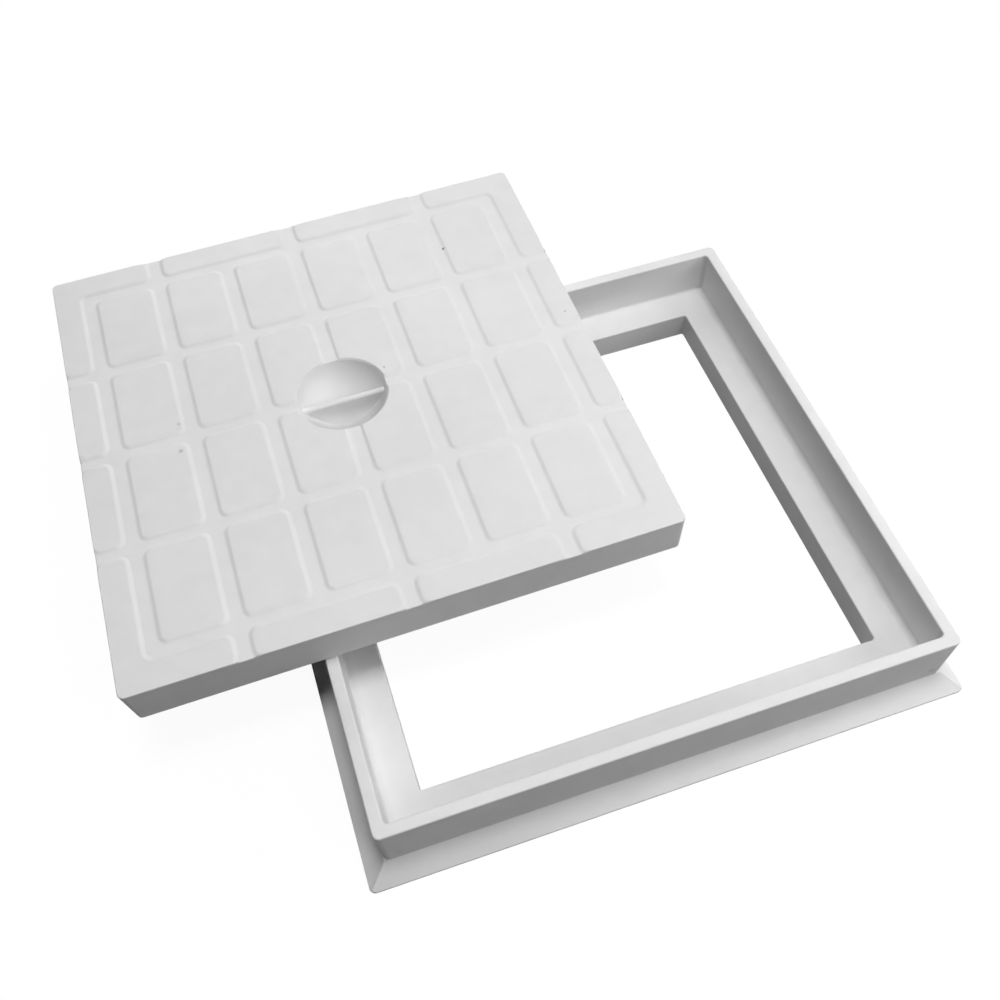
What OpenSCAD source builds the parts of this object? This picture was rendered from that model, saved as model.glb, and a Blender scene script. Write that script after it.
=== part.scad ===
// Square inspection cover lying askew on its frame, both moulded in pale plastic.
// The frame's underside is at z = 0 and its centre is the origin; X runs along its front side.

/* [Cover] */
// Side of the square cover, across its top
cover_side = 300; // [240:5:420]
// Thickness of the cover, pads included
cover_h = 27; // [24:0.5:36]
// Radius of the cover's upright corners
cover_corner_r = 3.5; // [2.5:0.5:8]
// How far each side leans in towards the underside
cover_draft = 0.5; // [0.2:0.1:1]
// Bevel round the cover's bottom edge
cover_bevel = 1.5; // [1:0.1:2]
// Thickness of the cover's outer wall
cover_wall = 4; // [3.5:0.5:6]
// Radius of the corners inside that wall
inside_corner_r = 2; // [1:0.5:4]
// Thickness of the top plate under the grooves
plate_t = 4.5; // [3.5:0.5:6]
// Ribs under the plate, each way
rib_count = 6; // [4:1:9]
// Thickness of a rib
rib_t = 3; // [2:0.5:4]

/* [Tread pattern] */
// Columns of pads
pad_cols = 6; // [4:2:8]
// Rows of pads
pad_rows = 4; // [3:1:6]
// Border at the left and right, outside the columns
ring_x = 15.9; // [12:0.1:22]
// Border at the front and back, outside the rows
ring_y = 17; // [12:0.1:22]
// Groove between two columns
groove_x = 9; // [5:0.5:10]
// Groove between two rows
groove_y = 6.8; // [4:0.1:8]
// Height of a pad above the grooves
pad_relief = 0.8; // [0.5:0.1:1.5]
// Corner radius of a pad
pad_corner_r = 4.4; // [3:0.1:5]
// How far the rounded ends of the border pads run out past the cover's side
edge_reach = 0.4; // [0.2:0.1:1]

/* [Finger dish] */
// Diameter of the dish at the top of the pads
dish_d = 53; // [44:1:60]
// Depth of the dish
dish_depth = 20; // [14:0.5:20]
// Thickness of the shell under the dish
dish_wall = 3; // [2:0.5:3]
// Bevel round the mouth of the dish
dish_lip = 0.8; // [0.4:0.1:1.2]
// Thickness of the web that the fingers pinch
web_t = 3.6; // [3:0.2:5]
// Drop of the web's rounded top below the pads
web_drop = 5; // [2:0.5:7]
// Radius of the hollow along each foot of the web
web_fillet = 9; // [6:0.5:11]

/* [Frame] */
// Gap all round the cover when it is seated
fit_gap = 1.2; // [0.8:0.1:3]
// Depth left under the seated cover, so that it ends flush
seat_spare = 1; // [0.5:0.5:2]
// Width of the flat rim round the seat
rim_w = 6.8; // [5:0.2:10]
// Width of the ledge that carries the seated cover
ledge_w = 20.2; // [14:0.2:28]
// Thickness of the ledge
ledge_t = 5; // [4:0.5:7]
// Height of the ledge above the ground
ledge_z = 17; // [15:1:24]
// Thickness of the lip round the clear opening
lip_t = 5; // [4:0.5:6]
// Radius of the fillet where the seat's wall meets the ledge
seat_fillet = 2; // [1:0.1:2]
// Radius of the seat's upright corners
seat_corner_r = 2.5; // [2:0.5:3]
// Radius of the clear opening's corners
opening_corner_r = 1.5; // [1:0.5:4]
// Radius of the rim's outer corners
rim_corner_r = 3.5; // [2.5:0.5:8]
// How far the outer wall leans out, from the rim down to the skirt
wall_lean = 0.5; // [0.3:0.1:1.5]

/* [Skirt] */
// Reach of the sloping skirt beyond the outer wall
skirt_w = 11.5; // [8:0.5:16]
// Height at which the skirt leaves the wall
skirt_h = 10; // [8:0.5:13]
// Height of the skirt's upright edge
skirt_edge_h = 1.5; // [1:0.5:2.5]
// Radius of the skirt's corners at the ground
skirt_corner_r = 3.5; // [2.5:0.5:12]
// Width of the skirt's flat foot
foot_w = 4.5; // [3:0.5:6]
// Stiffening webs under each side of the frame
gusset_count = 7; // [3:1:9]
// Thickness of a stiffening web
gusset_t = 3; // [2:0.5:4]

/* [Pose] */
// How far the cover has been slid to the left of the frame's centre
cover_left = 107.4; // [60:1:125]
// How far the cover has been slid to the back
cover_back = 93; // [60:1:120]
// Turn of the cover on the frame, in degrees
cover_turn = 0.65; // [0:0.05:2]

/* [Hidden] */
$fn = 48;
corner_steps = 4;
eps = 0.5;

seat_side = cover_side + 2 * fit_gap;
seat_depth = cover_h + seat_spare;
opening_side = seat_side - 2 * ledge_w;
rim_side = seat_side + 2 * rim_w;
rim_z = ledge_z + seat_depth;
wall_foot_side = rim_side + 2 * wall_lean;
skirt_side = wall_foot_side + 2 * skirt_w;

plate_top = cover_h - pad_relief;
plate_bottom = plate_top - plate_t;
cover_foot_side = cover_side - 2 * cover_draft;
cover_inside = cover_foot_side - 2 * cover_wall;
rib_pitch = (cover_inside + rib_t) / (rib_count + 1);
pad_w = (cover_side - 2 * ring_x - (pad_cols + 1) * groove_x) / pad_cols;
pad_l = (cover_side - 2 * ring_y - (pad_rows + 1) * groove_y) / pad_rows;

dish_r = (pow(dish_d / 2, 2) + pow(dish_depth, 2)) / (2 * dish_depth);
dish_centre_z = cover_h - dish_depth + dish_r;
web_top = cover_h - web_drop;
dish_floor = cover_h - dish_depth;
web_foot_w = web_t + 2 * web_fillet;

// Left and right edge of pad column k, front and back edge of pad row k
function col_left(k) = -cover_side / 2 + ring_x + groove_x + k * (pad_w + groove_x);
function col_right(k) = col_left(k) + pad_w;
function row_front(k) = -cover_side / 2 + ring_y + groove_y + k * (pad_l + groove_y);
function row_back(k) = row_front(k) + pad_l;

// Corners of a rectangle, counter-clockwise
function box_outline(x0, y0, x1, y1) = [[x0, y0], [x1, y0], [x1, y1], [x0, y1]];

function unit(v) = v / norm(v);

// Points of a right-angled outline with its corners rounded
function rounded_outline(corners, r) = [
    for (i = [0 : len(corners) - 1])
        let (
            here = corners[i],
            way_in = unit(here - corners[(i + len(corners) - 1) % len(corners)]),
            way_out = unit(corners[(i + 1) % len(corners)] - here),
            centre = here - r * way_in + r * way_out
        )
        for (step = [0 : corner_steps])
            let (a = 90 * step / corner_steps)
            centre + r * (way_in * sin(a) - way_out * cos(a))
];

// Square with rounded corners
module rounded_square(side, r) {
    square([side, side - 2 * r], center = true);
    square([side - 2 * r, side], center = true);
    for (x = [-1, 1], y = [-1, 1])
        translate([x * (side / 2 - r), y * (side / 2 - r)])
            circle(r);
}

// Bar whose section is a trapezoid, wide at the bottom, centred along Y
module drafted_bar(length, bottom, top, h) {
    translate([0, length / 2, 0])
        rotate([90, 0, 0])
            linear_extrude(length)
                polygon([[-bottom / 2, 0], [bottom / 2, 0], [top / 2, h], [-top / 2, h]]);
}

// Square block with leaning sides and rounded corners
module drafted_block(bottom, top, r_top, h) {
    r_bottom = r_top + (bottom - top) / 2;
    flat = top - 2 * r_top;
    drafted_bar(flat, bottom, top, h);
    rotate(90)
        drafted_bar(flat, bottom, top, h);
    for (x = [-1, 1], y = [-1, 1])
        translate([x * flat / 2, y * flat / 2])
            cylinder(h = h, r1 = r_bottom, r2 = r_top);
}

// Outline of one pad, from its right-angled corners
module pad(corners) {
    polygon(rounded_outline(corners, pad_corner_r));
}

// Pads in straight columns and rows
module field_pads() {
    for (i = [0 : pad_cols - 1], j = [0 : pad_rows - 1])
        pad(box_outline(col_left(i), row_front(j), col_right(i), row_back(j)));
}

// Border pads: angled ones at the corners, straight ones between them
module border_pads() {
    outer = cover_side / 2 + edge_reach;
    inner_x = cover_side / 2 - ring_x;
    inner_y = cover_side / 2 - ring_y;
    // The corner pads stop level with the first column and the first row
    arm_x = -col_right(0);
    arm_y = -row_back(0);
    for (half_turn = [0, 180])
        rotate(half_turn) {
            pad([
                [-outer, -outer], [-arm_x, -outer], [-arm_x, -inner_y],
                [-inner_x, -inner_y], [-inner_x, -arm_y], [-outer, -arm_y]
            ]);
            pad([
                [arm_x, -outer], [outer, -outer], [outer, -arm_y],
                [inner_x, -arm_y], [inner_x, -inner_y], [arm_x, -inner_y]
            ]);
            // One straight pad in front of each pair of columns
            for (i = [1 : 2 : pad_cols - 3])
                pad(box_outline(col_left(i), -outer, col_right(i + 1), -inner_y));
            // One straight pad beside each middle row
            for (j = [1 : pad_rows - 2])
                pad(box_outline(-outer, row_front(j), -inner_x, row_back(j)));
        }
}

// Grooves that leave the pads standing, open at the cover's sides
module grooves_cut() {
    translate([0, 0, plate_top])
        linear_extrude(pad_relief + eps)
            difference() {
                square(cover_side + 4 * edge_reach, center = true);
                field_pads();
                border_pads();
            }
}

// Outside of the cover before its grooves are cut
module cover_block() {
    drafted_block(cover_foot_side - 2 * cover_bevel, cover_foot_side, cover_corner_r - cover_draft, cover_bevel);
    translate([0, 0, cover_bevel])
        drafted_block(cover_foot_side, cover_side, cover_corner_r, cover_h - cover_bevel);
}

// Crossed ribs that stiffen the plate, level with the cover's bottom edge
module cover_ribs() {
    for (k = [1 : rib_count], turn = [0, 90])
        rotate(turn)
            translate([-cover_inside / 2 + k * rib_pitch - rib_t, -cover_inside / 2, 0])
                cube([rib_t, cover_inside, plate_bottom]);
}

// Ball that shapes the dish, grown by a wall
module dish_ball(grow) {
    translate([0, 0, dish_centre_z])
        sphere(r = dish_r + grow);
}

module dish_cut() {
    dish_ball(0);
    translate([0, 0, cover_h - dish_lip])
        cylinder(h = 2 * dish_lip, r1 = dish_d / 2 - dish_lip / 4, r2 = dish_d / 2 + 2 * dish_lip);
}

// Section of the web: a rounded top, and a foot that spreads into the dish
module web_section() {
    translate([0, web_top - web_t / 2])
        circle(web_t / 2);
    difference() {
        translate([-web_foot_w / 2, dish_floor - dish_wall / 2])
            square([web_foot_w, web_top - web_t / 2 - dish_floor + dish_wall / 2]);
        for (side = [-1, 1])
            translate([side * web_foot_w / 2, dish_floor + web_fillet]) {
                circle(web_fillet);
                translate([-web_fillet, 0])
                    square([2 * web_fillet, dish_depth]);
            }
    }
}

// Web across the dish, which a thumb and a finger pinch
module pinch_web() {
    intersection() {
        dish_ball(dish_wall / 2);
        translate([-dish_d / 2, 0, 0])
            rotate([90, 0, 90])
                linear_extrude(dish_d)
                    web_section();
    }
}

module cover_shape() {
    difference() {
        union() {
            difference() {
                cover_block();
                translate([0, 0, -eps])
                    linear_extrude(plate_bottom + eps)
                        rounded_square(cover_inside, inside_corner_r);
            }
            cover_ribs();
            intersection() {
                dish_ball(dish_wall);
                cylinder(h = plate_top, d = dish_d + 2 * dish_wall);
            }
        }
        grooves_cut();
        dish_cut();
    }
    pinch_web();
}

module cover() {
    color("whitesmoke")
        translate([-cover_left, cover_back, rim_z])
            rotate(cover_turn)
                cover_shape();
}

// Skirt with an upright edge and sloping sides that meet in ridges
module skirt() {
    outer = skirt_side / 2;
    inner = wall_foot_side / 2;
    intersection() {
        linear_extrude(skirt_h)
            rounded_square(skirt_side, skirt_corner_r);
        intersection_for (turn = [0, 90])
            rotate(turn)
                translate([0, outer, 0])
                    rotate([90, 0, 0])
                        linear_extrude(skirt_side)
                            polygon([
                                [-outer, 0], [outer, 0], [outer, skirt_edge_h],
                                [inner, skirt_h], [-inner, skirt_h], [-outer, skirt_edge_h]
                            ]);
    }
}

// Upright wall from the skirt to the rim
module frame_wall() {
    translate([0, 0, skirt_h])
        drafted_block(wall_foot_side, rim_side, rim_corner_r, rim_z - skirt_h);
}

// Rebate that takes the cover, with a fillet along the foot of each side
module seat_cut() {
    difference() {
        translate([0, 0, ledge_z])
            linear_extrude(seat_depth + eps)
                rounded_square(seat_side, seat_corner_r);
        for (quarter = [0 : 3])
            rotate(90 * quarter)
                translate([-seat_side / 2, seat_side / 2, ledge_z])
                    rotate([90, 0, 0])
                        linear_extrude(seat_side)
                            difference() {
                                translate([-eps, -eps])
                                    square(seat_fillet + eps);
                                translate([seat_fillet, seat_fillet])
                                    circle(seat_fillet);
                            }
    }
}

module opening_cut() {
    translate([0, 0, -eps])
        linear_extrude(ledge_z + 2 * eps)
            rounded_square(opening_side, opening_corner_r);
}

// Hollow under the ledge and the skirt, open at the bottom
module channel_cut() {
    inner = opening_side / 2 + lip_t;
    wall_in = seat_side / 2;
    roof = ledge_z - ledge_t;
    foot = skirt_side / 2 - foot_w;
    shoulder = skirt_h - ledge_t;
    difference() {
        intersection_for (turn = [0, 90])
            rotate(turn)
                translate([0, skirt_side / 2, -eps])
                    rotate([90, 0, 0])
                        linear_extrude(skirt_side)
                            polygon([
                                [-foot, 0], [foot, 0], [foot, eps], [wall_in, shoulder + eps],
                                [wall_in, roof + eps], [-wall_in, roof + eps],
                                [-wall_in, shoulder + eps], [-foot, eps]
                            ]);
        translate([0, 0, -2 * eps])
            linear_extrude(roof + 4 * eps)
                rounded_square(2 * inner, opening_corner_r + lip_t);
        gussets();
    }
}

// Stiffening webs across the hollow
module gussets() {
    pitch = seat_side / (gusset_count + 1);
    for (quarter = [0 : 3], k = [1 : gusset_count])
        rotate(90 * quarter)
            translate([-seat_side / 2 + k * pitch - gusset_t / 2, opening_side / 2, -2 * eps])
                cube([gusset_t, skirt_side / 2 - opening_side / 2, ledge_z]);
}

module frame() {
    color("whitesmoke")
        difference() {
            union() {
                skirt();
                frame_wall();
            }
            seat_cut();
            opening_cut();
            channel_cut();
        }
}

frame();
cover();
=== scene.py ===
"""Looks of the square inspection cover: a pale moulded cover lying askew on its frame."""
import math

import bmesh
import bpy
from mathutils import Matrix, Vector


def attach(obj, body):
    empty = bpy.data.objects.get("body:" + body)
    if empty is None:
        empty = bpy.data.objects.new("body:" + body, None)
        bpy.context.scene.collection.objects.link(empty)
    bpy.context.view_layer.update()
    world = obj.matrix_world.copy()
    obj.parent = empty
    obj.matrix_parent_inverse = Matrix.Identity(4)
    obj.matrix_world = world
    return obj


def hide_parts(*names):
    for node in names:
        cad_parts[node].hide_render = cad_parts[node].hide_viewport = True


MM = 0.001

# Camera, fitted to the photograph's edges, in the part's own frame
CAMERA_PLACE = Vector((-117.15, -296.55, 487.62)) * MM
CAMERA_TURN = Vector((2.6121, -0.4418, 0.0757))
FOCAL_PX = 944.16
CENTRE_PX = (525.2, 616.5)
FRAME_PX = 1000.0
SENSOR_MM = 36.0
NEAREST_SEEN = 10.0 * MM

# Lamps, all pointed at the part: name, place and width in metres, power in watts
LAMPS = (
    ("overhead", (0.0, 0.0, 2.0), 0.6, 17.5),
    ("back", (0.0, 2.0, 1.0), 1.2, 13.0),
    ("right", (0.78, -0.25, 0.46), 0.45, 2.8),
    ("front", (0.4, -0.9, 0.9), 0.6, 3.2),
    ("near overhead", (0.3, 0.2, 1.0), 0.8, 1.2),
)

# Floor: what it gives back to the object, and how the camera and reflections see it
FLOOR_HALF_WIDTH = 3.0
FLOOR_BOUNCE = (0.12, 0.12, 0.12, 1.0)
FLOOR_SHADE = (0.08, 0.08, 0.08, 1.0)
FLOOR_GLOW = 0.945
WHITE = (1.0, 1.0, 1.0, 1.0)

# Heights and places repeated from the part's source
RIM_Z = 45.0 * MM
LEDGE_Z = 17.0 * MM
SKIRT_Z = 10.0 * MM
SKIRT_EDGE_Z = 1.5 * MM
GROOVE_Z = 71.2 * MM
PAD_Z = 72.0 * MM
DISH_PLACE = Vector((-107.4, 93.0)) * MM
TINY = 0.02 * MM
WELD = 0.002 * MM
CUT_REACH = 0.0001 * MM

# How far a face's normal may lean and still count as level, upright or the side of the cover
LEVEL = 0.999
UPRIGHT = 0.01
SIDE = 0.05

# The pads' flanks run in an S from the groove to the pad's top
FLANK_HALF_WIDTH = 1.6 * MM
FLANK_HALF_WIDTH_AT_DISH = 0.95 * MM
DISH_REACH = 31.0 * MM
FLANK_STEPS = 6
BESIDE_SIDE = 1.85 * MM
LEAST_SPREAD = 0.2
SLIVER = 0.12 * MM
MOUTH_SLIVER = 0.65 * MM

# Roundings that moulding leaves
SHARP_ANGLE = math.radians(35)
ROUNDING_FACES = 3
WIDEST_ROUNDING = 1.0 * MM
RIM_ROUNDING = 0.9 * MM
COVER_ROUNDING = 0.6 * MM
SMALL_ROUNDING = 0.35 * MM

# Pale grey plastic, its rubbed lines, and the dark grey used both for its dirt and for painted shade
PLASTIC = (0.80, 0.80, 0.80, 1.0)
RUBBED = (0.62, 0.62, 0.62, 1.0)
DIRT_AND_SHADE = (0.21, 0.21, 0.21, 1.0)
SPECULAR = 0.25
ROUGHNESS = 0.45
ROUGHNESS_SPREAD = 0.04
FRAME_SHIFT = (0.7, 0.3, 0.1)

# Range that holds most values of a noise, and where a round spot's edge starts to fade
NOISE_LOW = 0.3
NOISE_HIGH = 0.7
SPOT_FADE = 0.5

# Patches: how many per metre, their detail, and the lowest and highest value
RAGGED_EDGE = (1800.0, 2.0, 0.6, 1.4)
SEAT_PATCHES = (60.0, 3.0, 0.8, 1.25)
TREAD_PATCHES = (40.0, 3.0, 0.4, 1.6)
DISH_PATCHES = (90.0, 3.0, 0.75, 1.1)

# Sockets of the Mix node when it mixes colours
MIX_SHARE = 0
MIX_FIRST = 6
MIX_SECOND = 7
MIX_RESULT = 2

# Clouds in the tone
CLOUDS_PER_METRE = 12.0
CLOUD_SPREAD = 0.028
FINER = 7.0
FINE_SHARE = 0.4

# Grain and unevenness of the mould's surface
GRAINS_PER_METRE = 2600.0
WAVES_PER_METRE = 90.0
WAVE_HEIGHT = 4.0
DULL_PATCHES_PER_METRE = 55.0
GRAIN_DEPTH = 0.01 * MM
GRAIN_STRENGTH = 0.6

# Rubbed lines, in two directions and in patches
SCUFFS_PER_METRE = 420.0
SCUFF_TURNS = (0.35, 2.05)
SCUFF_STRETCH = 0.035
SCUFF_EDGE = (0.73, 0.78)
RUBBED_PATCHES_PER_METRE = 14.0
RUBBED_PATCH_EDGE = (0.5, 0.68)
SCUFF_TINT = 0.05
SCUFF_ROUGHNESS = 0.08

# Flecks of darker pellets
FLECK_CELLS_PER_METRE = 45.0
FLECK_SHARE = 0.03
FLECK_RADIUS = 0.28 * MM
FLECK_AMOUNT = 0.5
PALEST_FLECK = 0.3
FLECK_RANGE = 0.6

# Dirt specks on the cover: place and radius in millimetres, and strength
COVER_SPECKS = (
    ((-18.4, 188.0, 71.6), 1.2, 1.0),
    ((-202.4, 82.8, 72.0), 1.5, 0.4),
    ((35.4, 109.3, 72.0), 0.6, 0.8),
    ((-200.4, 102.6, 72.0), 1.4, 0.25),
    ((-79.4, 103.8, 72.0), 0.8, 0.5),
)

# Painted shade at the foot of the seat's wall and in its upright corners, less of it on the left
SEAT_SHADE_WALL = 149.9 * MM
SEAT_SHADE_Z = 17.4 * MM
SEAT_SHADE_REACH = 3.8 * MM
SEAT_SHADE_AMOUNT = 0.3
CORNER_NARROWING = 1.4
SEAT_SHADE_TURN_X = 100.0 * MM
LEFT_SHARE = 0.35

# Wear on the pads' tops, painted shade on the slopes round them, and painted shade in the front half of
# the finger dish
WEAR_AMOUNT = 0.015
FLANK_SHADE_AMOUNT = 0.04
DISH_SHADE_RADIUS = 26.5 * MM
DISH_SHADE_FADE = 0.86
BESIDE_WEB = 1.2 * MM
DISH_SHADE_AMOUNT = 0.17


def is_level(face):
    return abs(face.normal.z) > LEVEL


def is_upright(face):
    return abs(face.normal.z) < UPRIGHT


def is_side(face):
    return abs(face.normal.z) < SIDE


def in_relief(vert):
    return vert.co.z > GROOVE_Z - TINY


def near_dish(vert):
    return math.hypot(vert.co.x - DISH_PLACE.x, vert.co.y - DISH_PLACE.y) < DISH_REACH


def flat_part(vector):
    return Vector((vector.x, vector.y, 0)).normalized()


def flank_faces(shape):
    return [f for f in shape.faces if is_upright(f) and all(in_relief(v) for v in f.verts)]


def walls_beside(vert, flanks):
    """Directions of the faces that a flank's vertex may only slide along."""
    touching = [f for f in vert.link_faces if f not in flanks and not is_level(f)]
    if touching:
        return [flat_part(f.normal) for f in touching]
    for edge in vert.link_edges:
        for face in edge.other_vert(vert).link_faces:
            near = abs((vert.co - face.verts[0].co).dot(face.normal)) < BESIDE_SIDE
            if near and is_side(face) and face not in flanks:
                return [flat_part(face.normal)]
    return []


def cut_flanks(shape):
    """Cuts the upright flanks at the heights where the S-shaped slope has its corners."""
    for step in range(1, FLANK_STEPS):
        rise = (1 - math.cos(math.pi * step / FLANK_STEPS)) / 2
        height = GROOVE_Z + (PAD_Z - GROOVE_Z) * rise
        flanks = flank_faces(shape)
        edges = {e for f in flanks for e in f.edges}
        verts = {v for f in flanks for v in f.verts}
        bmesh.ops.bisect_plane(
            shape,
            geom=[*flanks, *edges, *verts],
            dist=CUT_REACH,
            plane_co=(0, 0, height),
            plane_no=(0, 0, 1),
        )
    shape.normal_update()


def slope_move(vert, flanks):
    """How far and which way a flank's vertex moves to lie on the slope, or nothing."""
    mine = [f.normal for f in vert.link_faces if f in flanks]
    way = flat_part(sum(mine, Vector()))
    for wall in walls_beside(vert, flanks):
        way -= way.dot(wall) * wall
    spread = sum(way.dot(n) for n in mine) / len(mine)
    if way.length < LEAST_SPREAD or abs(spread) < LEAST_SPREAD:
        return None
    rise = min(1.0, max(0.0, (vert.co.z - GROOVE_Z) / (PAD_Z - GROOVE_Z)))
    along = math.acos(1 - 2 * rise) / math.pi
    half_width = FLANK_HALF_WIDTH_AT_DISH if near_dish(vert) else FLANK_HALF_WIDTH
    return way * half_width * (1 - 2 * along) / spread


def curve_pad_flanks(shape):
    """Turns the upright flanks of the tread pads into soft S-shaped slopes."""
    cut_flanks(shape)
    flanks = set(flank_faces(shape))
    moves = {v: slope_move(v, flanks) for v in {v for f in flanks for v in f.verts}}
    for vert, move in moves.items():
        if move is not None:
            vert.co += move
    relief_verts = [v for v in shape.verts if in_relief(v)]
    bmesh.ops.remove_doubles(shape, verts=relief_verts, dist=SLIVER)
    mouth_verts = [v for v in shape.verts if abs(v.co.z - GROOVE_Z) < TINY and near_dish(v)]
    bmesh.ops.remove_doubles(shape, verts=mouth_verts, dist=MOUTH_SLIVER)
    return {f for f in flanks if f.is_valid}


def soften(shape, rounding):
    """Sets each sharp edge's bevel weight from its radius, and marks the edges that stay sharp."""
    weight = shape.edges.layers.float.new("bevel_weight_edge")
    for edge in shape.edges:
        if len(edge.link_faces) == 2 and edge.calc_face_angle() > SHARP_ANGLE:
            radius = rounding(edge)
            edge[weight] = radius / WIDEST_ROUNDING
            edge.smooth = radius > 0


def cover_rounding(flanks):
    def radius(edge):
        if not all(in_relief(v) for v in edge.verts):
            return SMALL_ROUNDING if edge.is_convex else 0.0
        sides = [f for f in edge.link_faces if f not in flanks and is_side(f)]
        return COVER_ROUNDING if sides else 0.0

    return radius


def frame_rounding(edge):
    heights = [v.co.z for v in edge.verts]
    low = min(heights)
    if low > RIM_Z - TINY:
        return RIM_ROUNDING
    if max(heights) < SKIRT_EDGE_Z + TINY or abs(low - SKIRT_Z) < TINY or not edge.is_convex:
        return 0.0
    return RIM_ROUNDING if abs(low - LEDGE_Z) < TINY else SMALL_ROUNDING


def add_object(name, data):
    item = bpy.data.objects.new(name, data)
    bpy.context.collection.objects.link(item)
    return item


def finished(name, shape, material):
    """Turns a prepared shape into a plain mesh piece with rounded edges and even shading."""
    mesh = bpy.data.meshes.new(name)
    shape.to_mesh(mesh)
    shape.free()
    draft = add_object(name + "_draft", mesh)
    bevel = draft.modifiers.new("rounding", "BEVEL")
    bevel.width = WIDEST_ROUNDING
    bevel.segments = ROUNDING_FACES
    bevel.limit_method = "WEIGHT"
    bevel.use_clamp_overlap = False
    bevel.loop_slide = False
    shading = draft.modifiers.new("shading", "WEIGHTED_NORMAL")
    shading.keep_sharp = True
    graph = bpy.context.evaluated_depsgraph_get()
    mesh = bpy.data.meshes.new_from_object(draft.evaluated_get(graph))
    bpy.data.objects.remove(draft)
    mesh.name = name
    mesh.materials.clear()
    mesh.materials.append(material)
    return add_object(name, mesh)


def merged_copy(node):
    """Copy of a node's mesh whose loose triangles are joined."""
    shape = bmesh.new()
    shape.from_mesh(node.data)
    bmesh.ops.remove_doubles(shape, verts=shape.verts, dist=WELD)
    for face in shape.faces:
        face.smooth = True
    shape.normal_update()
    return shape


def cover_moulding(node, material):
    shape = merged_copy(node)
    flanks = curve_pad_flanks(shape)
    shape.normal_update()
    soften(shape, cover_rounding(flanks))
    return finished("cover_moulding", shape, material)


def frame_moulding(node, material):
    shape = merged_copy(node)
    soften(shape, frame_rounding)
    return finished("frame_moulding", shape, material)


def feed(tree, socket, value):
    """Links a socket into another one, or sets a plain value on it."""
    if isinstance(value, bpy.types.NodeSocket):
        tree.links.new(value, socket)
    else:
        socket.default_value = value


def place(tree, kind, settings=(), **values):
    """Adds a node, with its settings and with its inputs fed by name."""
    node = tree.nodes.new(kind)
    for name, value in dict(settings).items():
        setattr(node, name, value)
    for name, value in values.items():
        feed(tree, node.inputs[name.replace("_", " ")], value)
    return node


def work_out(tree, operation, first, second=0.0, third=0.0):
    node = place(tree, "ShaderNodeMath", {"operation": operation})
    for socket, value in zip(node.inputs, (first, second, third)):
        feed(tree, socket, value)
    return node.outputs[0]


def product(tree, first, *others):
    """Multiplies any number of values."""
    for other in others:
        first = work_out(tree, "MULTIPLY", first, other)
    return first


def remap(tree, value, low, high, to_low, to_high):
    """Runs softly from to_low to to_high while the value goes from low to high."""
    node = place(tree, "ShaderNodeMapRange", {"interpolation_type": "SMOOTHSTEP"}, Value=value)
    for name, number in (("From Min", low), ("From Max", high), ("To Min", to_low), ("To Max", to_high)):
        feed(tree, node.inputs[name], number)
    return node.outputs["Result"]


def noise(tree, position, scale, detail):
    node = place(tree, "ShaderNodeTexNoise", Vector=position, Scale=scale, Detail=detail)
    return node.outputs["Fac"]


def patchy(tree, position, scale, detail, low, high):
    """Value that wanders between low and high in patches."""
    return remap(tree, noise(tree, position, scale, detail), NOISE_LOW, NOISE_HIGH, low, high)


def axes(tree, vector):
    return place(tree, "ShaderNodeSeparateXYZ", Vector=vector).outputs


def between_points(tree, operation, first, second):
    node = place(tree, "ShaderNodeVectorMath", {"operation": operation})
    feed(tree, node.inputs[0], first)
    feed(tree, node.inputs[1], second)
    return node.outputs


def blend_colours(tree, share, first, second, way="MIX"):
    node = tree.nodes.new("ShaderNodeMix")
    node.data_type = "RGBA"
    node.blend_type = way
    feed(tree, node.inputs[MIX_SHARE], share)
    feed(tree, node.inputs[MIX_FIRST], first)
    feed(tree, node.inputs[MIX_SECOND], second)
    return node.outputs[MIX_RESULT]


def node_group(name, inputs, outputs):
    tree = bpy.data.node_groups.new(name, "ShaderNodeTree")
    for label, kind in inputs.items():
        tree.interface.new_socket(label, in_out="INPUT", socket_type="NodeSocket" + kind)
    for label, kind in outputs.items():
        tree.interface.new_socket(label, in_out="OUTPUT", socket_type="NodeSocket" + kind)
    return tree, tree.nodes.new("NodeGroupInput").outputs, tree.nodes.new("NodeGroupOutput").inputs


def cloudy_tone_group():
    """Soft clouds in the tone, as mixed pellets leave them."""
    inputs = {"Position": "Vector", "Colour": "Color", "Clouds per Metre": "Float", "Spread": "Float"}
    tree, given, result = node_group("cloudy tone", inputs, {"Colour": "Color"})
    wide = noise(tree, given["Position"], given["Clouds per Metre"], 2.0)
    fine = noise(tree, given["Position"], product(tree, given["Clouds per Metre"], FINER), 3.0)
    both = work_out(tree, "MULTIPLY_ADD", fine, FINE_SHARE, product(tree, wide, 1 - FINE_SHARE))
    dark = work_out(tree, "SUBTRACT", 1.0, given["Spread"])
    light = work_out(tree, "ADD", 1.0, given["Spread"])
    factor = remap(tree, both, NOISE_LOW, NOISE_HIGH, dark, light)
    tree.links.new(blend_colours(tree, 1.0, given["Colour"], factor, "MULTIPLY"), result["Colour"])
    return tree


def moulded_grain_group():
    """Fine grain of the mould's surface, over a shallow unevenness."""
    inputs = {"Position": "Vector", "Grains per Metre": "Float", "Roughness": "Float", "Spread": "Float"}
    tree, given, result = node_group("moulded grain", inputs, {"Height": "Float", "Roughness": "Float"})
    grain = noise(tree, given["Position"], given["Grains per Metre"], 2.0)
    waves = noise(tree, given["Position"], WAVES_PER_METRE, 1.0)
    tree.links.new(work_out(tree, "MULTIPLY_ADD", waves, WAVE_HEIGHT, grain), result["Height"])
    low = work_out(tree, "SUBTRACT", given["Roughness"], given["Spread"])
    high = work_out(tree, "ADD", given["Roughness"], given["Spread"])
    dull = patchy(tree, given["Position"], DULL_PATCHES_PER_METRE, 4.0, low, high)
    tree.links.new(dull, result["Roughness"])
    return tree


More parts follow.
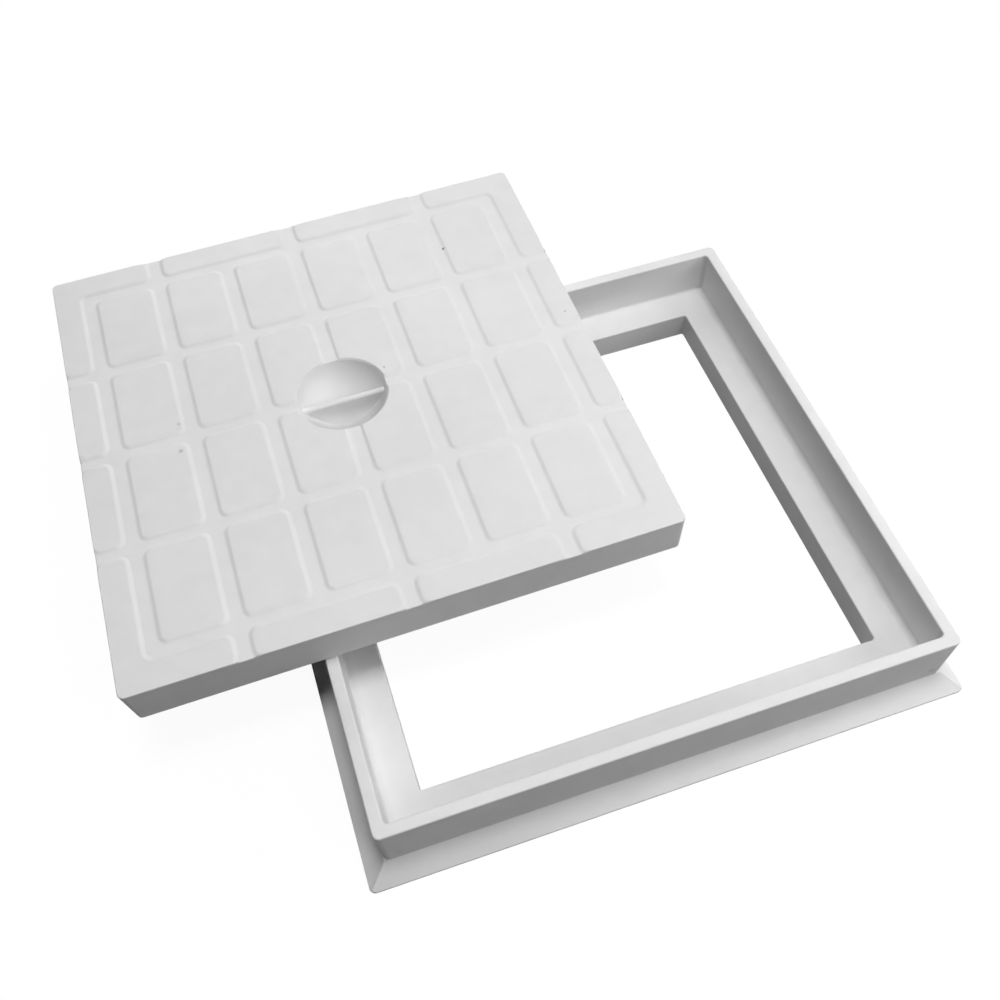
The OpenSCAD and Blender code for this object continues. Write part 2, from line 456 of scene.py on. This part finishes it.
def scuffs_group():
    """Faint rubbed lines in two directions, where the part has been handled and stacked."""
    inputs = {"Position": "Vector", "Lines per Metre": "Float"}
    tree, given, result = node_group("scuffs", inputs, {"Mask": "Float"})
    masks = []
    for turn in SCUFF_TURNS:
        mapping = place(tree, "ShaderNodeMapping", Vector=given["Position"])
        mapping.inputs["Rotation"].default_value = (0, 0, turn)
        mapping.inputs["Scale"].default_value = (1.0, SCUFF_STRETCH, 1.0)
        lines = noise(tree, mapping.outputs["Vector"], given["Lines per Metre"], 1.0)
        masks.append(remap(tree, lines, *SCUFF_EDGE, 0.0, 1.0))
    patches = noise(tree, given["Position"], RUBBED_PATCHES_PER_METRE, 1.0)
    where = remap(tree, patches, *RUBBED_PATCH_EDGE, 0.0, 1.0)
    lines = work_out(tree, "MAXIMUM", masks[0], masks[1])
    tree.links.new(product(tree, lines, where), result["Mask"])
    return tree


def flecks_group():
    """Sparse tiny flecks of darker pellets scattered in the plastic."""
    inputs = {"Position": "Vector", "Cells per Metre": "Float", "Share": "Float", "Radius": "Float"}
    tree, given, result = node_group("flecks", inputs, {"Mask": "Float"})
    cells = place(tree, "ShaderNodeTexVoronoi", Vector=given["Position"], Scale=given["Cells per Metre"])
    reach = product(tree, given["Radius"], given["Cells per Metre"])
    dot = remap(tree, cells.outputs["Distance"], product(tree, reach, SPOT_FADE), reach, 1.0, 0.0)
    chance = place(tree, "ShaderNodeSeparateColor", Color=cells.outputs["Color"]).outputs
    chosen = work_out(tree, "LESS_THAN", chance[0], given["Share"])
    depth = work_out(tree, "MULTIPLY_ADD", chance[1], FLECK_RANGE, PALEST_FLECK)
    tree.links.new(product(tree, dot, chosen, depth), result["Mask"])
    return tree


def speck_group():
    """One speck of dirt at a given place, with a ragged edge."""
    inputs = {"Position": "Vector", "Place": "Vector", "Radius": "Float"}
    tree, given, result = node_group("dirt speck", inputs, {"Mask": "Float"})
    apart = between_points(tree, "DISTANCE", given["Position"], given["Place"])["Value"]
    ragged = patchy(tree, given["Position"], *RAGGED_EDGE)
    inner = product(tree, given["Radius"], SPOT_FADE)
    mask = remap(tree, product(tree, apart, ragged), inner, given["Radius"], 1.0, 0.0)
    tree.links.new(mask, result["Mask"])
    return tree


def seat_shade_group():
    """Painted shade along the foot of the seat's side walls and in its four upright corners, weaker on
    the left.
    """
    inputs = {"Position": "Vector", "Wall": "Float", "Ledge": "Float", "Reach": "Float"}
    tree, given, result = node_group("seat shade", inputs, {"Mask": "Float"})
    spot = axes(tree, given["Position"])
    from_side = work_out(tree, "SUBTRACT", work_out(tree, "ABSOLUTE", spot["X"]), given["Wall"])
    from_end = work_out(tree, "SUBTRACT", work_out(tree, "ABSOLUTE", spot["Y"]), given["Wall"])
    above = work_out(tree, "SUBTRACT", spot["Z"], given["Ledge"])
    side_part = product(tree, from_side, from_side)
    foot = work_out(tree, "SQRT", work_out(tree, "MULTIPLY_ADD", above, above, side_part))
    corner = work_out(tree, "SQRT", work_out(tree, "MULTIPLY_ADD", from_end, from_end, side_part))
    nearest = work_out(tree, "MINIMUM", foot, product(tree, corner, CORNER_NARROWING))
    uneven = patchy(tree, given["Position"], *SEAT_PATCHES)
    mask = remap(tree, product(tree, nearest, uneven), 0.0, given["Reach"], 1.0, 0.0)
    more_to_the_right = remap(tree, spot["X"], -SEAT_SHADE_TURN_X, SEAT_SHADE_TURN_X, LEFT_SHARE, 1.0)
    tree.links.new(product(tree, mask, more_to_the_right), result["Mask"])
    return tree


def tread_wear_and_flank_shade_group():
    """Wear on the tops of the pads, and painted shade on the slopes round them."""
    inputs = {"Position": "Vector", "Low": "Float", "High": "Float"}
    outputs = {"Tops": "Float", "Slopes": "Float"}
    tree, given, result = node_group("tread wear and flank shade", inputs, outputs)
    height = axes(tree, given["Position"])["Z"]
    middle = product(tree, work_out(tree, "ADD", given["Low"], given["High"]), 0.5)
    patches = patchy(tree, given["Position"], *TREAD_PATCHES)
    tops = remap(tree, height, middle, given["High"], 0.0, 1.0)
    tree.links.new(product(tree, tops, patches), result["Tops"])
    rising = remap(tree, height, given["Low"], middle, 0.0, 1.0)
    falling = remap(tree, height, middle, given["High"], 1.0, 0.0)
    tree.links.new(product(tree, rising, falling), result["Slopes"])
    return tree


def dish_shade_group():
    """Patchy painted shade in the front half of the finger dish."""
    inputs = {"Position": "Vector", "Centre": "Vector", "Radius": "Float", "Beside Web": "Float"}
    tree, given, result = node_group("dish shade", inputs, {"Mask": "Float"})
    apart = between_points(tree, "SUBTRACT", given["Position"], given["Centre"])["Vector"]
    spot = axes(tree, apart)
    flat = place(tree, "ShaderNodeCombineXYZ", X=spot["X"], Y=spot["Y"])
    reach = place(tree, "ShaderNodeVectorMath", {"operation": "LENGTH"})
    feed(tree, reach.inputs[0], flat.outputs["Vector"])
    inner = product(tree, given["Radius"], DISH_SHADE_FADE)
    inside = remap(tree, reach.outputs["Value"], inner, given["Radius"], 1.0, 0.0)
    before = product(tree, spot["Y"], -1.0)
    twice = product(tree, given["Beside Web"], 2.0)
    front = remap(tree, before, given["Beside Web"], twice, 0.0, 1.0)
    patches = patchy(tree, given["Position"], *DISH_PATCHES)
    tree.links.new(product(tree, inside, front, patches), result["Mask"])
    return tree


def new_material(name):
    material = bpy.data.materials.new(name)
    material.use_nodes = True
    material.node_tree.nodes.clear()
    return material


def show(tree, shader):
    output = tree.nodes.new("ShaderNodeOutputMaterial")
    tree.links.new(shader.outputs[0], output.inputs["Surface"])


def use_group(tree, group, **values):
    node = tree.nodes.new("ShaderNodeGroup")
    node.node_tree = group
    for name, value in values.items():
        feed(tree, node.inputs[name.replace("_", " ")], value)
    return node.outputs


def dirt_mask(tree, groups, spot, moved, specks):
    """Flecks all over the piece and the specks at their own places."""
    flecks = use_group(
        tree,
        groups["flecks"],
        Position=moved,
        Cells_per_Metre=FLECK_CELLS_PER_METRE,
        Share=FLECK_SHARE,
        Radius=FLECK_RADIUS,
    )["Mask"]
    dirt = product(tree, flecks, FLECK_AMOUNT)
    for centre, radius, strength in specks:
        centre = Vector(centre) * MM
        mask = use_group(tree, groups["speck"], Position=spot, Place=centre, Radius=radius * MM)["Mask"]
        dirt = work_out(tree, "MAXIMUM", dirt, product(tree, mask, strength))
    return dirt


def plastic_material(name, groups, shift, own_wear_and_shade, specks=()):
    """Moulded plastic; shift moves the patterns, so that two pieces don't share them.

    The mask function after shift gives the wear and the painted shade that only this piece has.
    """
    material = new_material(name)
    tree = material.node_tree
    spot = tree.nodes.new("ShaderNodeTexCoord").outputs["Object"]
    mapping = place(tree, "ShaderNodeMapping", Vector=spot)
    mapping.inputs["Location"].default_value = shift
    moved = mapping.outputs["Vector"]
    tone = use_group(
        tree,
        groups["tone"],
        Position=moved,
        Colour=PLASTIC,
        Clouds_per_Metre=CLOUDS_PER_METRE,
        Spread=CLOUD_SPREAD,
    )["Colour"]
    grain = use_group(
        tree,
        groups["grain"],
        Position=moved,
        Grains_per_Metre=GRAINS_PER_METRE,
        Roughness=ROUGHNESS,
        Spread=ROUGHNESS_SPREAD,
    )
    scuffs = use_group(tree, groups["scuffs"], Position=moved, Lines_per_Metre=SCUFFS_PER_METRE)["Mask"]
    tone = blend_colours(tree, product(tree, scuffs, SCUFF_TINT), tone, RUBBED)
    # The piece's own marks: real wear on the pad tops, and painted shade in the seat, on the pad flanks
    # and in the dish
    tone = blend_colours(tree, own_wear_and_shade(tree, groups, spot), tone, DIRT_AND_SHADE)
    colour = blend_colours(tree, dirt_mask(tree, groups, spot, moved, specks), tone, DIRT_AND_SHADE)
    rough = work_out(tree, "MULTIPLY_ADD", scuffs, SCUFF_ROUGHNESS, grain["Roughness"])
    bump = place(
        tree, "ShaderNodeBump", Height=grain["Height"], Strength=GRAIN_STRENGTH, Distance=GRAIN_DEPTH
    )
    shader = place(
        tree,
        "ShaderNodeBsdfPrincipled",
        Base_Color=colour,
        Specular_IOR_Level=SPECULAR,
        Roughness=rough,
        Normal=bump.outputs["Normal"],
    )
    show(tree, shader)
    return material


def cover_wear_and_shade(tree, groups, spot):
    """Wear on the pad tops, and painted shade on the pad flanks and in the dish."""
    wear = use_group(tree, groups["tread wear and flank shade"], Position=spot, Low=GROOVE_Z, High=PAD_Z)
    worn = product(tree, wear["Tops"], WEAR_AMOUNT)
    worn_and_flank_shade = work_out(tree, "MULTIPLY_ADD", wear["Slopes"], FLANK_SHADE_AMOUNT, worn)
    painted_shade = use_group(
        tree,
        groups["dish shade"],
        Position=spot,
        Centre=(DISH_PLACE.x, DISH_PLACE.y, 0.0),
        Radius=DISH_SHADE_RADIUS,
        Beside_Web=BESIDE_WEB,
    )["Mask"]
    return work_out(tree, "MULTIPLY_ADD", painted_shade, DISH_SHADE_AMOUNT, worn_and_flank_shade)


def frame_shade(tree, groups, spot):
    """Painted shade at the foot of the seat's walls and in its corners."""
    painted_shade = use_group(
        tree, groups["seat shade"], Position=spot, Wall=SEAT_SHADE_WALL, Ledge=SEAT_SHADE_Z, Reach=SEAT_SHADE_REACH
    )["Mask"]
    return product(tree, painted_shade, SEAT_SHADE_AMOUNT)


def make_camera():
    data = bpy.data.cameras.new("camera")
    data.sensor_width = SENSOR_MM
    data.lens = FOCAL_PX / FRAME_PX * SENSOR_MM
    data.shift_x = (FRAME_PX / 2 - CENTRE_PX[0]) / FRAME_PX
    data.shift_y = (CENTRE_PX[1] - FRAME_PX / 2) / FRAME_PX
    data.clip_start = NEAREST_SEEN
    camera = add_object("camera", data)
    turn = Matrix.Rotation(CAMERA_TURN.length, 3, CAMERA_TURN.normalized())
    right, down, forward = turn
    rows = Matrix((right, -down, -forward))
    camera.matrix_world = Matrix.Translation(CAMERA_PLACE) @ rows.transposed().to_4x4()
    bpy.context.scene.camera = camera


def make_lamp(name, spot, width, power):
    data = bpy.data.lights.new(name, "AREA")
    data.shape = "DISK"
    data.size = width
    data.energy = power
    lamp = add_object(name, data)
    lamp.location = spot
    lamp.rotation_euler = (-Vector(spot)).to_track_quat("-Z", "Y").to_euler()


def seen_directly(tree):
    """1 where the camera, a reflection or a clear material shows the surroundings."""
    path = tree.nodes.new("ShaderNodeLightPath").outputs
    seen = work_out(tree, "MAXIMUM", path["Is Camera Ray"], path["Is Glossy Ray"])
    return work_out(tree, "MAXIMUM", seen, path["Is Transmission Ray"])


def make_floor():
    """Floor that looks white, keeps a pale shadow and gives the object little light back."""
    half = FLOOR_HALF_WIDTH
    corners = [(-half, -half, 0), (half, -half, 0), (half, half, 0), (-half, half, 0)]
    mesh = bpy.data.meshes.new("floor")
    mesh.from_pydata(corners, [], [(0, 1, 2, 3)])
    floor = add_object("floor", mesh)
    material = new_material("floor")
    tree = material.node_tree
    bounce = place(tree, "ShaderNodeBsdfDiffuse", Color=FLOOR_BOUNCE)
    shade = place(tree, "ShaderNodeBsdfDiffuse", Color=FLOOR_SHADE)
    glow = place(tree, "ShaderNodeEmission", Strength=FLOOR_GLOW)
    shown = tree.nodes.new("ShaderNodeAddShader")
    feed(tree, shown.inputs[0], shade.outputs[0])
    feed(tree, shown.inputs[1], glow.outputs[0])
    choice = tree.nodes.new("ShaderNodeMixShader")
    feed(tree, choice.inputs[0], seen_directly(tree))
    feed(tree, choice.inputs[1], bounce.outputs[0])
    feed(tree, choice.inputs[2], shown.outputs[0])
    show(tree, choice)
    mesh.materials.append(material)


def make_world():
    """White surroundings for the camera and reflections, which give no light of their own."""
    world = bpy.data.worlds.new("studio")
    world.use_nodes = True
    bpy.context.scene.world = world
    tree = world.node_tree
    background = tree.nodes["Background"]
    feed(tree, background.inputs["Color"], WHITE)
    feed(tree, background.inputs["Strength"], seen_directly(tree))


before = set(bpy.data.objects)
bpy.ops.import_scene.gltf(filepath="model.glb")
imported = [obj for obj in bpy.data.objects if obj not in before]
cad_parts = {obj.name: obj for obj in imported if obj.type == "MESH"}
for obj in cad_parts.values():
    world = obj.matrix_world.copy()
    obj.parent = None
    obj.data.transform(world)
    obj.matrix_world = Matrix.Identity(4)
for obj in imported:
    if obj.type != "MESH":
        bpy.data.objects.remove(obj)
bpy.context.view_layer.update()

bpy.context.scene.view_settings.view_transform = "Standard"
make_camera()
make_floor()
make_world()
for lamp in LAMPS:
    make_lamp(*lamp)

plastics = {
    "tone": cloudy_tone_group(),
    "grain": moulded_grain_group(),
    "scuffs": scuffs_group(),
    "flecks": flecks_group(),
    "speck": speck_group(),
    "seat shade": seat_shade_group(),
    "tread wear and flank shade": tread_wear_and_flank_shade_group(),
    "dish shade": dish_shade_group(),
}
cover_plastic = plastic_material(
    "cover plastic", plastics, (0.0, 0.0, 0.0), cover_wear_and_shade, COVER_SPECKS
)
cover = cover_moulding(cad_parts["cover"], cover_plastic)
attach(cover, "root")
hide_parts("cover")
frame_plastic = plastic_material("frame plastic", plastics, FRAME_SHIFT, frame_shade)
rails = frame_moulding(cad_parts["frame"], frame_plastic)
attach(rails, "root")
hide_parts("frame")
